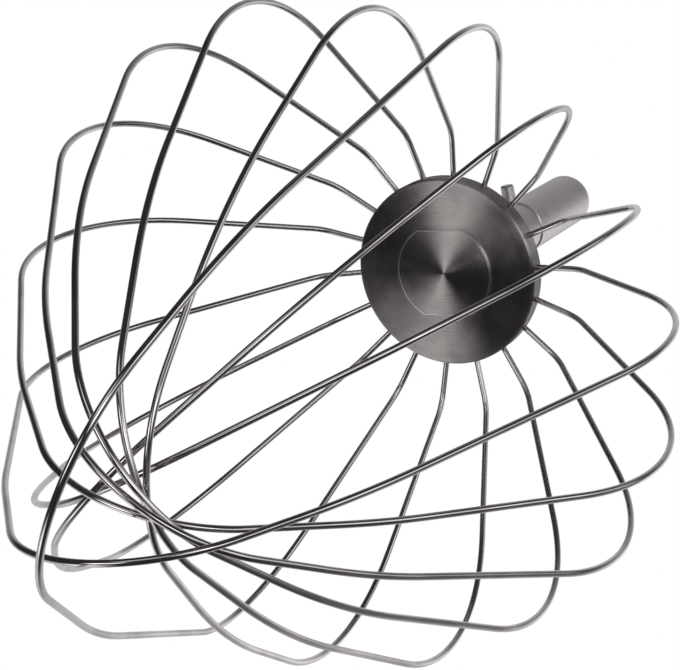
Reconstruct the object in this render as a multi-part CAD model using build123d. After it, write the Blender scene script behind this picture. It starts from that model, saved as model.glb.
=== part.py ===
from build123d import *
import math
import os

# Wire whisk for a planetary stand mixer: nine wire loops, a turned hub, a shank and a cross pin.
# Millimetres. The origin is on the axis, in the middle of the stretch of shank that the socket grips.
# +Z runs along the axis towards the shank's free end, and the cross pin lies along Y.

# Shank and cross pin
shank_radius = 6.0
shank_end_z = 17.5
shank_end_round = 3.0
relief_radius = 5.75
relief_top_z = -14.5
shank_foot_chamfer = 0.5
pin_radius = 1.5
pin_length = 21.0
pin_z = -16.5
pin_end_chamfer = 0.3

# Hub body, from the front rim to the neck round the shank
rim_radius = 20.0
rim_z = -55.1
rim_thickness = 4.4
rim_chamfer = 0.4
face_crown = 0.2
neck_radius = 9.0
neck_top_z = -42.0
neck_chamfer = 0.5

# Hub cap: a raised boss with two spanner flats on a stem that plugs the hub's front bore
boss_radius = 10.7
boss_height = 0.5
boss_chamfer = 0.3
boss_across_flats = 18.2
boss_turn = 6.0
stem_radius = 8.0
stem_length = 2.2
seat_ring = 0.5

# Wire loops: corners of the even loop. The bend is given by radius and depth below the plane of the
# wire roots, shoulders and knees by their distance from the axis and their rise above the tip.
loop_count = 9
wire_radius = 0.6
root_radius = 18.0
root_z = -52.0
wire_end_radius = 12.5
first_loop_angle = -96.0
bend_at = (30.0, 2.5)
shoulder_half = 72.5
shoulder_rise = 98.5
knee_half = 39.0
knee_rise = 38.0
tip_depth = 145.5
bend_radius = 9.0
shoulder_radius = 40.0
knee_radius = 110.0
tip_radius = 26.0
knee_follow = 0.6

# How use has bent each loop away from the even one. lean is in degrees, the rest in millimetres:
# lean tips the loop's plane, sway moves its tip along the plane, reach makes it deeper,
# spread widens the shoulders, skew lowers one shoulder and lifts the other, and fill widens the knees.
bent_loops = [
    dict(lean=4.0, sway=1.0, reach=2.5, spread=1.5, skew=2.5, fill=-0.5),
    dict(lean=2.5, sway=-1.5, reach=-8.0, spread=-1.0, skew=-5.0, fill=0.0),
    dict(lean=2.8, sway=14.0, reach=35.0, spread=-2.0, skew=-4.5, fill=-1.0),
    dict(lean=-0.2, sway=-10.0, reach=-9.5, spread=0.0, skew=-0.5, fill=3.0),
    dict(lean=1.0, sway=-5.0, reach=-12.0, spread=7.5, skew=15.5, fill=4.5),
    dict(lean=3.0, sway=6.5, reach=20.0, spread=-1.0, skew=-7.5, fill=-5.0),
    dict(lean=1.0, sway=4.5, reach=1.5, spread=5.0, skew=1.0, fill=-3.5),
    dict(lean=-3.0, sway=9.0, reach=10.5, spread=2.5, skew=0.5, fill=-3.0),
    dict(lean=-4.4, sway=0.0, reach=7.5, spread=0.0, skew=0.0, fill=-0.5),
]

# Clearances
press_gap = 0.02
wire_gap = 0.05

pin_bore_radius = pin_radius + press_gap
relief_bore_radius = relief_radius + press_gap
face_z = rim_z - face_crown
recess_floor_z = face_z + stem_length + press_gap
rim_back_z = rim_z + rim_thickness
seat_radius = boss_radius + seat_ring
wire_slope = bend_at[1] / (bend_at[0] - root_radius)
wire_end_depth = -(root_radius - wire_end_radius) * wire_slope
from_base = (Align.CENTER, Align.CENTER, Align.MIN)


def turned(outline):
    """Turn a closed outline of (radius, z) points about the axis."""
    section = Plane.XZ * make_face(Polyline(*outline, close=True))
    return revolve(section, axis=Axis.Z)


def make_shank():
    foot_z = recess_floor_z + press_gap
    bar = turned([
        (0, foot_z),
        (relief_radius - shank_foot_chamfer, foot_z),
        (relief_radius, foot_z + shank_foot_chamfer),
        (relief_radius, relief_top_z - (shank_radius - relief_radius)),
        (shank_radius, relief_top_z),
        (shank_radius, shank_end_z),
        (0, shank_end_z),
    ])
    end_edge = bar.edges().group_by(Axis.Z)[-1]
    bar = fillet(end_edge, shank_end_round)
    cross_bore = Pos(0, 0, pin_z) * Rot(90, 0, 0) * Cylinder(pin_bore_radius, 4 * shank_radius)
    return bar - cross_bore


def make_cross_pin():
    pin = Cylinder(pin_radius, pin_length)
    pin = chamfer(pin.edges().filter_by(GeomType.CIRCLE), pin_end_chamfer)
    return Pos(0, 0, pin_z) * Rot(90, 0, 0) * pin


def make_hub_cap():
    boss_z = face_z - boss_height
    boss = turned([
        (0, face_z),
        (boss_radius, face_z),
        (boss_radius, boss_z + boss_chamfer),
        (boss_radius - boss_chamfer, boss_z),
        (0, boss_z),
    ])
    between_flats = Box(4 * boss_radius, boss_across_flats, 4 * boss_height)
    boss = boss & (Pos(0, 0, boss_z) * Rot(0, 0, boss_turn) * between_flats)
    stem = Pos(0, 0, face_z) * Cylinder(stem_radius, stem_length, align=from_base)
    return boss + stem


def loop_plane(number):
    """Plane of one loop: x along the chord between its roots, y away from the hub."""
    angle = math.radians(first_loop_angle + number * 180 / loop_count)
    lean = math.radians(bent_loops[number]["lean"])
    chord = Vector(math.cos(angle), math.sin(angle), 0)
    side = Vector(-math.sin(angle), math.cos(angle), 0)
    down = side * math.sin(lean) + Vector(0, 0, -math.cos(lean))
    return Plane(origin=(0, 0, root_z), x_dir=chord, z_dir=chord.cross(down))


def loop_corners(number):
    """Corners of one bent loop in its own plane, from one wire end to the other."""
    bent = bent_loops[number]
    knee_x = knee_follow * bent["sway"]
    knee_y = tip_depth - knee_rise + knee_follow * bent["reach"]
    knee_out = knee_half + bent["fill"]
    shoulder_x = shoulder_half + bent["spread"]
    shoulder_y = tip_depth - shoulder_rise
    return [
        (wire_end_radius, wire_end_depth),
        bend_at,
        (shoulder_x, shoulder_y + bent["skew"]),
        (knee_x + knee_out, knee_y),
        (bent["sway"], tip_depth + bent["reach"]),
        (knee_x - knee_out, knee_y),
        (-shoulder_x, shoulder_y - bent["skew"]),
        (-bend_at[0], bend_at[1]),
        (-wire_end_radius, wire_end_depth),
    ]


def loop_path(number):
    side = [bend_radius, shoulder_radius, knee_radius]
    radii = side + [tip_radius] + side[::-1]
    return loop_plane(number) * FilletPolyline(*loop_corners(number), radius=radii)


def make_wire_loop(number):
    path = loop_path(number)
    section = Plane(origin=path @ 0, z_dir=path % 0) * Circle(wire_radius)
    return sweep(section, path=path)


def wire_bores(number):
    """The two holes that one loop's ends fill, from inside the hub out past its rim."""
    plane = loop_plane(number)
    corners = [plane.from_local_coords(Vector(*corner)) for corner in loop_corners(number)]
    bores = []
    for start, towards in ((0, 1), (-1, -2)):
        along = (corners[towards] - corners[start]).normalized()
        floor = corners[start] - along * wire_gap
        bore = Cylinder(wire_radius + wire_gap, rim_radius, align=from_base)
        bores.append(Plane(origin=floor, z_dir=along) * bore)
    return bores


def make_hub_body():
    body = turned([
        (relief_bore_radius, recess_floor_z),
        (stem_radius + press_gap, recess_floor_z),
        (stem_radius + press_gap, face_z),
        (seat_radius, face_z),
        (rim_radius - rim_chamfer, rim_z),
        (rim_radius, rim_z + rim_chamfer),
        (rim_radius, rim_back_z - rim_chamfer),
        (rim_radius - rim_chamfer, rim_back_z),
        (neck_radius, neck_top_z - neck_chamfer),
        (neck_radius - neck_chamfer, neck_top_z),
        (relief_bore_radius, neck_top_z),
    ])
    for number in range(loop_count):
        for bore in wire_bores(number):
            body = body - bore
    return body


os.makedirs("parts", exist_ok=True)
export_step(make_hub_body(), "parts/hub_body.step")
export_step(make_hub_cap(), "parts/hub_cap.step")
export_step(make_shank(), "parts/shank.step")
export_step(make_cross_pin(), "parts/cross_pin.step")
for number in range(loop_count):
    export_step(make_wire_loop(number), f"parts/wire_loop_{number + 1}.step")
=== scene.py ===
import math
import bpy
from mathutils import Matrix, Vector


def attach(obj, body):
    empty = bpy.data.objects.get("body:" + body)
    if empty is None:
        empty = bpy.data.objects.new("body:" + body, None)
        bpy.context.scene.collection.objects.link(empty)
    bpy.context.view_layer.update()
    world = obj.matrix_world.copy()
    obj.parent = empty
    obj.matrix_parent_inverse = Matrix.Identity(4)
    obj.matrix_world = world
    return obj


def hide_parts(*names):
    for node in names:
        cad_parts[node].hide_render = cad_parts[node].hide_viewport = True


# A stand mixer's wire whisk, hung by its shank and seen from below, on plain white.
# Lengths in the dictionaries are millimetres, and the frame is in metres. Scales of noise are per metre.
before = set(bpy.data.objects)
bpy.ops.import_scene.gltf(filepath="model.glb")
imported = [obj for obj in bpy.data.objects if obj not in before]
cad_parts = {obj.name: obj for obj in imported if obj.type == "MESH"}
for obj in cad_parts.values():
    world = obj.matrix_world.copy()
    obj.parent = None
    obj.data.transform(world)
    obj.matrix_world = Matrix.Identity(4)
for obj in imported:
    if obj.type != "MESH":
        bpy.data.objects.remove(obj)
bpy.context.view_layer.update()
millimetre = 0.001
print("loaded", sorted(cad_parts))


# What wires nodes together, in materials and in geometry trees
class Socket:
    def __init__(self, maker, out):
        self.maker = maker
        self.out = out

    def __add__(self, other):
        return self.maker.math("ADD", self, other)

    def __radd__(self, other):
        return self.maker.math("ADD", other, self)

    def __sub__(self, other):
        return self.maker.math("SUBTRACT", self, other)

    def __rsub__(self, other):
        return self.maker.math("SUBTRACT", other, self)

    def __mul__(self, other):
        return self.maker.math("MULTIPLY", self, other)

    def __rmul__(self, other):
        return self.maker.math("MULTIPLY", other, self)


class Maker:
    def __init__(self, tree):
        self.tree = tree

    def feed(self, socket, value):
        if isinstance(value, Socket):
            self.tree.links.new(value.out, socket)
        else:
            socket.default_value = value

    def node(self, kind, settings=None, **inputs):
        made = self.tree.nodes.new(kind)
        for name, value in (settings or {}).items():
            setattr(made, name, value)
        for name, value in inputs.items():
            self.feed(made.inputs[name.replace("_", " ")], value)
        return made

    def math(self, operation, first, second=None):
        made = self.node("ShaderNodeMath", {"operation": operation})
        self.feed(made.inputs[0], first)
        if second is not None:
            self.feed(made.inputs[1], second)
        return Socket(self, made.outputs[0])

    def vectorMath(self, operation, first, second=None):
        made = self.node("ShaderNodeVectorMath", {"operation": operation})
        self.feed(made.inputs[0], first)
        if second is not None:
            self.feed(made.inputs[1], second)
        number = operation in ("LENGTH", "DOT_PRODUCT", "DISTANCE")
        return Socket(self, made.outputs["Value" if number else "Vector"])

    def mixColour(self, factor, first, second):
        made = self.node("ShaderNodeMix", {"data_type": "RGBA"})
        self.feed(made.inputs[0], factor)
        self.feed(made.inputs[6], first)
        self.feed(made.inputs[7], second)
        return Socket(self, made.outputs[2])

    def mapped(self, value, fromLow, fromHigh, toLow, toHigh):
        made = self.node("ShaderNodeMapRange", {"interpolation_type": "SMOOTHSTEP"})
        for socket, given in zip(made.inputs, (value, fromLow, fromHigh, toLow, toHigh)):
            self.feed(socket, given)
        return Socket(self, made.outputs[0])

    def noise(self, place, scale, detail=2.0, roughness=0.5):
        made = self.node("ShaderNodeTexNoise", Vector=place, Scale=scale, Detail=detail, Roughness=roughness)
        return Socket(self, made.outputs[0])

    def lineNoise(self, along, scale, detail=2.0):
        settings = {"noise_dimensions": "1D"}
        made = self.node("ShaderNodeTexNoise", settings, W=along, Scale=scale, Detail=detail)
        return Socket(self, made.outputs[0])


def newMaterial(name, constants):
    material = bpy.data.materials.new(name)
    material.use_nodes = True
    maker = Maker(material.node_tree)
    shader = material.node_tree.nodes["Principled BSDF"]
    for socket, value in constants.items():
        shader.inputs[socket].default_value = value
    place = Socket(maker, maker.node("ShaderNodeTexCoord").outputs["Object"])
    return material, maker, shader, place


# Turned steel of the hub: fine rings round the axis, which spread light into wedges
turned = {
    "dark": (0.30, 0.275, 0.275, 1),
    "light": (0.50, 0.46, 0.455, 1),
    "roughLow": 0.30,
    "roughHigh": 0.40,
    "anisotropic": 0.975,
    "anisotropicTurn": 0.25,
    "fineScale": 2600,
    "broadScale": 700,
    "smudgeScale": 150,
    "shares": (0.2, 0.16, 0.64),  # of fine rings, broad rings and smudges in the colour
    "broadInRough": 0.3,
    "spread": (0.35, 0.65),
    "ringHeight": 0.01,
    "ringStrength": 0.6,
    "faceTilt": 5.0,
    "bossTilt": 9.0,
    # pale colour of the painted highlight along the boss's edge
    "edgeHighlight": (0.90, 0.86, 0.86, 1),
    "edgeRough": 0.62,
    "edgeBand": 0.22,
    "bossRadius": 10.4,
    "bossHalfFlats": 9.1,
    "bossTurn": 6.0,
}


def turnedSteel(name, edged):
    material, maker, shader, place = newMaterial(name, {
        "Metallic": 1.0,
        "Anisotropic": turned["anisotropic"],
        "Anisotropic Rotation": turned["anisotropicTurn"],
    })
    radius = maker.vectorMath("LENGTH", maker.vectorMath("MULTIPLY", place, (1, 1, 0)))
    fine = maker.lineNoise(radius, turned["fineScale"])
    broad = maker.lineNoise(radius, turned["broadScale"])
    smudges = maker.noise(place, turned["smudgeScale"], 3.0)
    low, high = turned["spread"]
    ofFine, ofBroad, ofSmudges = turned["shares"]
    worn = maker.mapped(fine * ofFine + broad * ofBroad + smudges * ofSmudges, low, high, 0.0, 1.0)
    colour = maker.mixColour(worn, turned["dark"], turned["light"])
    rubbed = broad * turned["broadInRough"] + smudges * (1 - turned["broadInRough"])
    roughness = maker.mapped(rubbed, low, high, turned["roughLow"], turned["roughHigh"])
    if edged:  # the boss's broken edge, round and on both flats, gets a painted highlight: a pale, rougher band
        turn = math.radians(turned["bossTurn"])
        across = maker.vectorMath("DOT_PRODUCT", place, (-math.sin(turn), math.cos(turn), 0))
        pastFlats = maker.math("ABSOLUTE", across) - turned["bossHalfFlats"] * millimetre
        pastEdge = maker.math("MAXIMUM", radius - turned["bossRadius"] * millimetre, pastFlats)
        band = turned["edgeBand"] * millimetre
        edgeHighlight = maker.mapped(pastEdge, -band, -band / 2, 0.0, 1.0)
        colour = maker.mixColour(edgeHighlight, colour, turned["edgeHighlight"])
        roughness = roughness + edgeHighlight * (turned["edgeRough"] - turned["roughHigh"])
    maker.feed(shader.inputs["Base Color"], colour)
    maker.feed(shader.inputs["Roughness"], roughness)
    # The grooves lean outwards, so opposite wedges aren't equally bright
    lean = math.tan(math.radians(turned["bossTilt" if edged else "faceTilt"])) / turned["ringStrength"]
    ringHeight = turned["ringHeight"] * millimetre
    height = fine - radius * (lean / ringHeight)
    bump = maker.node("ShaderNodeBump", Height=height, Distance=ringHeight, Strength=turned["ringStrength"])
    maker.feed(shader.inputs["Normal"], Socket(maker, bump.outputs[0]))
    return material


# Satin steel of the shank and the cross pin. The pin's copy is painted lighter, as painted light.
satin = {
    "shankDark": (0.63, 0.595, 0.59, 1),
    "shankLight": (0.80, 0.755, 0.75, 1),
    # painted light: the pin is the shank's satin steel made lighter, standing in for light it doesn't get
    "pinPaintedLitDark": (0.84, 0.80, 0.80, 1),
    "pinPaintedLitLight": (0.98, 0.94, 0.94, 1),
    "lineScales": (300, 300, 3000),  # finest along the axis
    "patchScale": 120,
    "lineShare": 0.25,
    "spread": (0.32, 0.68),
    "roughLow": 0.35,
    "roughHigh": 0.45,
}


def satinSteel(name, dark, light):
    material, maker, shader, place = newMaterial(name, {"Metallic": 1.0})
    lines = maker.noise(maker.vectorMath("MULTIPLY", place, satin["lineScales"]), 1.0, 3.0)
    patches = maker.noise(place, satin["patchScale"], 4.0, 0.6)
    low, high = satin["spread"]
    worn = lines * satin["lineShare"] + patches * (1 - satin["lineShare"])
    worn = maker.mapped(worn, low, high, 0.0, 1.0)
    roughness = worn * (satin["roughHigh"] - satin["roughLow"]) + satin["roughLow"]
    maker.feed(shader.inputs["Base Color"], maker.mixColour(worn, dark, light))
    maker.feed(shader.inputs["Roughness"], roughness)
    return material


# Polished steel of the wires, rubbed here and there and duller near the hub
polished = {
    "dark": (0.49, 0.465, 0.46, 1),
    "light": (0.66, 0.625, 0.62, 1),
    "roughLow": 0.07,
    "roughHigh": 0.17,
    "root": (0.74, 0.705, 0.70, 1),
    "rootRough": 0.38,
    "patchScale": 90,
    "spread": (0.42, 0.68),
    "brightBelow": -85.0,
    "dullAbove": -62.0,
}


def polishedSteel():
    material, maker, shader, place = newMaterial("polishedSteel", {"Metallic": 1.0})
    low, high = polished["spread"]
    rubbed = maker.mapped(maker.noise(place, polished["patchScale"]), low, high, 0.0, 1.0)
    height = Socket(maker, maker.node("ShaderNodeSeparateXYZ", Vector=place).outputs[2])
    bright, dull = polished["brightBelow"] * millimetre, polished["dullAbove"] * millimetre
    nearRoot = maker.mapped(height, bright, dull, 0.0, 1.0)
    colour = maker.mixColour(rubbed, polished["light"], polished["dark"])
    maker.feed(shader.inputs["Base Color"], maker.mixColour(nearRoot, colour, polished["root"]))
    roughness = rubbed * (polished["roughHigh"] - polished["roughLow"]) + polished["roughLow"]
    roughness = roughness + nearRoot * (polished["rootRough"] - polished["roughHigh"])
    maker.feed(shader.inputs["Roughness"], roughness)
    return material


hubMaterial = turnedSteel("turnedSteel", False)
capMaterial = turnedSteel("turnedSteelEdged", True)
shankMaterial = satinSteel("shankSteel", satin["shankDark"], satin["shankLight"])
pinPaintedLightMaterial = satinSteel("pinSteelPaintedLight", satin["pinPaintedLitDark"], satin["pinPaintedLitLight"])
wireMaterial = polishedSteel()
print("materials")


# Wire loops: corners of the even loop, and how each loop has been bent away from it
wires = {
    "wireRadius": 0.6,
    "rootRadius": 18.0,
    "rootZ": -52.0,
    "endRadius": 12.5,
    "firstAngle": -96.0,
    "turnPerLoop": 20.0,
    "bendAt": (30.0, 2.5),
    "shoulderHalf": 72.5,
    "shoulderRise": 98.5,
    "kneeHalf": 39.0,
    "kneeRise": 38.0,
    "tipDepth": 145.5,
    "radii": (0, 9, 40, 110, 26, 110, 40, 9, 0),
    "kneeFollow": 0.6,
    "arcSteps": 26,
    "sides": 20,
    "sharpAbove": 60,
}
bentLoops = [
    {"lean": 4.0, "sway": 1.0, "reach": 2.5, "spread": 1.5, "skew": 2.5, "fill": -0.5},
    {"lean": 2.5, "sway": -1.5, "reach": -8.0, "spread": -1.0, "skew": -5.0, "fill": 0.0},
    {"lean": 2.8, "sway": 14.0, "reach": 35.0, "spread": -2.0, "skew": -4.5, "fill": -1.0},
    {"lean": -0.2, "sway": -10.0, "reach": -9.5, "spread": 0.0, "skew": -0.5, "fill": 3.0},
    {"lean": 1.0, "sway": -5.0, "reach": -12.0, "spread": 7.5, "skew": 15.5, "fill": 4.5},
    {"lean": 3.0, "sway": 6.5, "reach": 20.0, "spread": -1.0, "skew": -7.5, "fill": -5.0},
    {"lean": 1.0, "sway": 4.5, "reach": 1.5, "spread": 5.0, "skew": 1.0, "fill": -3.5},
    {"lean": -3.0, "sway": 9.0, "reach": 10.5, "spread": 2.5, "skew": 0.5, "fill": -3.0},
    {"lean": -4.4, "sway": 0.0, "reach": 7.5, "spread": 0.0, "skew": 0.0, "fill": -0.5},
]


def loopCorners(bent):
    slope = wires["bendAt"][1] / (wires["bendAt"][0] - wires["rootRadius"])
    endDepth = -(wires["rootRadius"] - wires["endRadius"]) * slope
    kneeX = wires["kneeFollow"] * bent["sway"]
    kneeY = wires["tipDepth"] - wires["kneeRise"] + wires["kneeFollow"] * bent["reach"]
    kneeHalf = wires["kneeHalf"] + bent["fill"]
    shoulderX = wires["shoulderHalf"] + bent["spread"]
    shoulderY = wires["tipDepth"] - wires["shoulderRise"]
    return [
        (wires["endRadius"], endDepth),
        wires["bendAt"],
        (shoulderX, shoulderY + bent["skew"]),
        (kneeX + kneeHalf, kneeY),
        (bent["sway"], wires["tipDepth"] + bent["reach"]),
        (kneeX - kneeHalf, kneeY),
        (-shoulderX, shoulderY - bent["skew"]),
        (-wires["bendAt"][0], wires["bendAt"][1]),
        (-wires["endRadius"], endDepth),
    ]


def loopPlace(number, point):
    angle = math.radians(wires["firstAngle"] + number * wires["turnPerLoop"])
    lean = math.radians(bentLoops[number]["lean"])
    chord = Vector((math.cos(angle), math.sin(angle), 0))
    side = Vector((-math.sin(angle), math.cos(angle), 0))
    down = side * math.sin(lean) + Vector((0, 0, -math.cos(lean)))
    return Vector((0, 0, wires["rootZ"])) + chord * point[0] + down * point[1]


# Geometry tree: a chain of corners, rounded at each by its own radius, becomes a round wire
def wireTree():
    tree = bpy.data.node_groups.new("roundedWire", "GeometryNodeTree")
    tree.interface.new_socket("Corners", in_out="INPUT", socket_type="NodeSocketGeometry")
    kinds = {"Wire Radius": "Float", "Arc Steps": "Int", "Sides": "Int", "Material": "Material"}
    for name, kind in kinds.items():
        tree.interface.new_socket(name, in_out="INPUT", socket_type="NodeSocket" + kind)
    tree.interface.new_socket("Wire", in_out="OUTPUT", socket_type="NodeSocketGeometry")
    maker = Maker(tree)
    given = maker.node("NodeGroupInput")
    corners, radius, steps, sides, material = [Socket(maker, out) for out in list(given.outputs)[:5]]
    line = maker.node("GeometryNodeMeshToCurve", Mesh=corners)
    bendRadius = maker.node("GeometryNodeInputNamedAttribute", {"data_type": "FLOAT"}, Name="bendRadius")
    rounded = maker.node("GeometryNodeFilletCurve", {"mode": "POLY"}, Curve=Socket(maker, line.outputs[0]))
    maker.feed(rounded.inputs["Count"], steps)
    maker.feed(rounded.inputs["Radius"], Socket(maker, bendRadius.outputs[0]))
    circle = maker.node("GeometryNodeCurvePrimitiveCircle", Resolution=sides, Radius=radius)
    swept = maker.node("GeometryNodeCurveToMesh", Curve=Socket(maker, rounded.outputs[0]))
    maker.feed(swept.inputs["Profile Curve"], Socket(maker, circle.outputs[0]))
    maker.feed(swept.inputs["Fill Caps"], True)
    real = maker.node("GeometryNodeRealizeInstances", Geometry=Socket(maker, swept.outputs[0]))
    dressed = maker.node("GeometryNodeSetMaterial", Material=material)
    maker.feed(dressed.inputs["Geometry"], Socket(maker, real.outputs[0]))
    result = maker.node("NodeGroupOutput")
    maker.feed(result.inputs[0], Socket(maker, dressed.outputs[0]))
    return tree


def inputName(tree, name):
    for item in tree.interface.items_tree:
        if item.name == name and item.in_out == "INPUT":
            return item.identifier


def smooth(mesh, angle):
    mesh.polygons.foreach_set("use_smooth", [True] * len(mesh.polygons))
    mesh.set_sharp_from_angle(angle=math.radians(angle))


def makeWire(number, tree):
    corners = loopCorners(bentLoops[number])
    radii = [radius * millimetre for radius in wires["radii"]]
    line = bpy.data.meshes.new("corners")
    points = [loopPlace(number, corner) * millimetre for corner in corners]
    line.from_pydata(points, [(i, i + 1) for i in range(len(points) - 1)], [])
    line.attributes.new("bendRadius", "FLOAT", "POINT").data.foreach_set("value", radii)
    piece = bpy.data.objects.new(f"wireLoop{number + 1}", line)
    bpy.context.scene.collection.objects.link(piece)
    wire = piece.modifiers.new("wire", "NODES")
    wire.node_group = tree
    wire[inputName(tree, "Wire Radius")] = wires["wireRadius"] * millimetre
    wire[inputName(tree, "Arc Steps")] = wires["arcSteps"]
    wire[inputName(tree, "Sides")] = wires["sides"]
    wire[inputName(tree, "Material")] = wireMaterial
    evaluated = piece.evaluated_get(bpy.context.evaluated_depsgraph_get())
    mesh = bpy.data.meshes.new_from_object(evaluated)
    piece.modifiers.remove(wire)
    piece.data = mesh
    smooth(mesh, wires["sharpAbove"])
    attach(piece, "root")
    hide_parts(f"wire_loop_{number + 1}")
    return piece


wireGroup = wireTree()
for number in range(len(bentLoops)):
    piece = makeWire(number, wireGroup)
print("wires", len(piece.data.polygons))


# Hub, shank and pin
dressing = {"hub_body": hubMaterial, "hub_cap": capMaterial, "shank": shankMaterial, "cross_pin": pinPaintedLightMaterial}
for node, material in dressing.items():
    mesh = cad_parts[node].data
    mesh.materials.clear()
    mesh.materials.append(material)
print("hub")


# Camera and light
view = {
    "place": (185.94, -77.15, -424.69),
    "forward": (-0.49042, 0.20308, 0.84749),
    "up": (0.0754, -0.95894, 0.27341),
    "lens": 106.15,
}


def addCamera():
    forward = Vector(view["forward"]).normalized()
    right = forward.cross(Vector(view["up"])).normalized()
    up = right.cross(forward)
    data = bpy.data.cameras.new("camera")
    data.lens = view["lens"]
    data.sensor_width = 36
    data.clip_start = 0.01
    camera = bpy.data.objects.new("camera", data)
    turn = Matrix((right, up, -forward)).transposed().to_4x4()
    camera.matrix_world = Matrix.Translation(Vector(view["place"]) * millimetre) @ turn
    bpy.context.scene.collection.objects.link(camera)
    bpy.context.scene.camera = camera
    return right, up, forward


right, up, forward = addCamera()

# Soft light round the object. Each glow lies in a direction given in the camera's axes, which are
# to its right, up and back past it, and fades between two angles from that direction.
studio = {
    "seen": (1.0, 1.0, 1.0, 1),
    "room": 0.035,
    "glows": [
        {"towards": (0.15, -0.20, -0.97), "inner": 20, "outer": 70, "strength": 0.56},
        {"towards": (-0.72, 0.0, 0.69), "inner": 3, "outer": 18, "strength": 2.3},
        {"towards": (-0.66, -0.73, 0.14), "inner": 3, "outer": 20, "strength": 1.4},
        {"towards": (-0.66, -0.64, -0.40), "inner": 5, "outer": 35, "strength": 0.62},
        {"towards": (-0.42, 0.61, 0.67), "inner": 4, "outer": 18, "strength": 0.8},
        {"towards": (-0.08, 0.50, 0.86), "inner": 4, "outer": 24, "strength": 0.35},
        {"towards": (0.20, 0.12, 0.97), "inner": 6, "outer": 16, "strength": 1.8},
        {"towards": (0.50, 0.02, 0.87), "inner": 6, "outer": 18, "strength": 1.3},
        {"towards": (0.80, 0.28, 0.53), "inner": 8, "outer": 22, "strength": 1.2},
        {"towards": (0.93, 0.34, 0.08), "inner": 5, "outer": 20, "strength": 0.7},
        {"towards": (0.85, -0.35, -0.30), "inner": 10, "outer": 50, "strength": 0.12},
        {"towards": (0.70, -0.10, -0.70), "inner": 4, "outer": 26, "strength": 0.36},
        {"towards": (0.35, 0.68, -0.64), "inner": 5, "outer": 38, "strength": 0.2},
    ],
}


def addStudio():
    world = bpy.data.worlds.new("studio")
    world.use_nodes = True
    bpy.context.scene.world = world
    maker = Maker(world.node_tree)
    shader = world.node_tree.nodes["Background"]
    seen = Socket(maker, maker.node("ShaderNodeLightPath").outputs["Is Camera Ray"])
    ray = Socket(maker, maker.node("ShaderNodeTexCoord").outputs["Generated"])
    light = studio["room"]
    for glow in studio["glows"]:
        x, y, z = glow["towards"]
        towards = (right * x + up * y - forward * z).normalized()
        near = maker.vectorMath("DOT_PRODUCT", ray, tuple(towards))
        outer = math.cos(math.radians(glow["outer"]))
        inner = math.cos(math.radians(glow["inner"]))
        light = maker.mapped(near, outer, inner, 0.0, glow["strength"]) + light
    grey = maker.node("ShaderNodeCombineColor", Red=light, Green=light, Blue=light)
    lit = Socket(maker, grey.outputs[0])
    maker.feed(shader.inputs["Color"], maker.mixColour(seen, lit, studio["seen"]))


addStudio()
bpy.context.scene.view_settings.view_transform = "Standard"

# Pale floor, a little lit from within so that it looks as white as the room
floor = {
    "z": -600.0,
    "width": 24000.0,
    "colour": (0.92, 0.92, 0.92, 1),
    "roughness": 0.7,
    "glow": 0.62,
}


def addFloor():
    half = floor["width"] * millimetre / 2
    z = floor["z"] * millimetre
    mesh = bpy.data.meshes.new("floor")
    corners = [(-half, -half, z), (half, -half, z), (half, half, z), (-half, half, z)]
    mesh.from_pydata(corners, [], [(0, 1, 2, 3)])
    plane = bpy.data.objects.new("floor", mesh)
    bpy.context.scene.collection.objects.link(plane)
    made = newMaterial("floor", {
        "Base Color": floor["colour"],
        "Roughness": floor["roughness"],
        "Emission Color": floor["colour"],
        "Emission Strength": floor["glow"],
    })
    mesh.materials.append(made[0])
    plane.visible_glossy = False  # the metal mirrors the studio, not the floor


addFloor()
print("light")
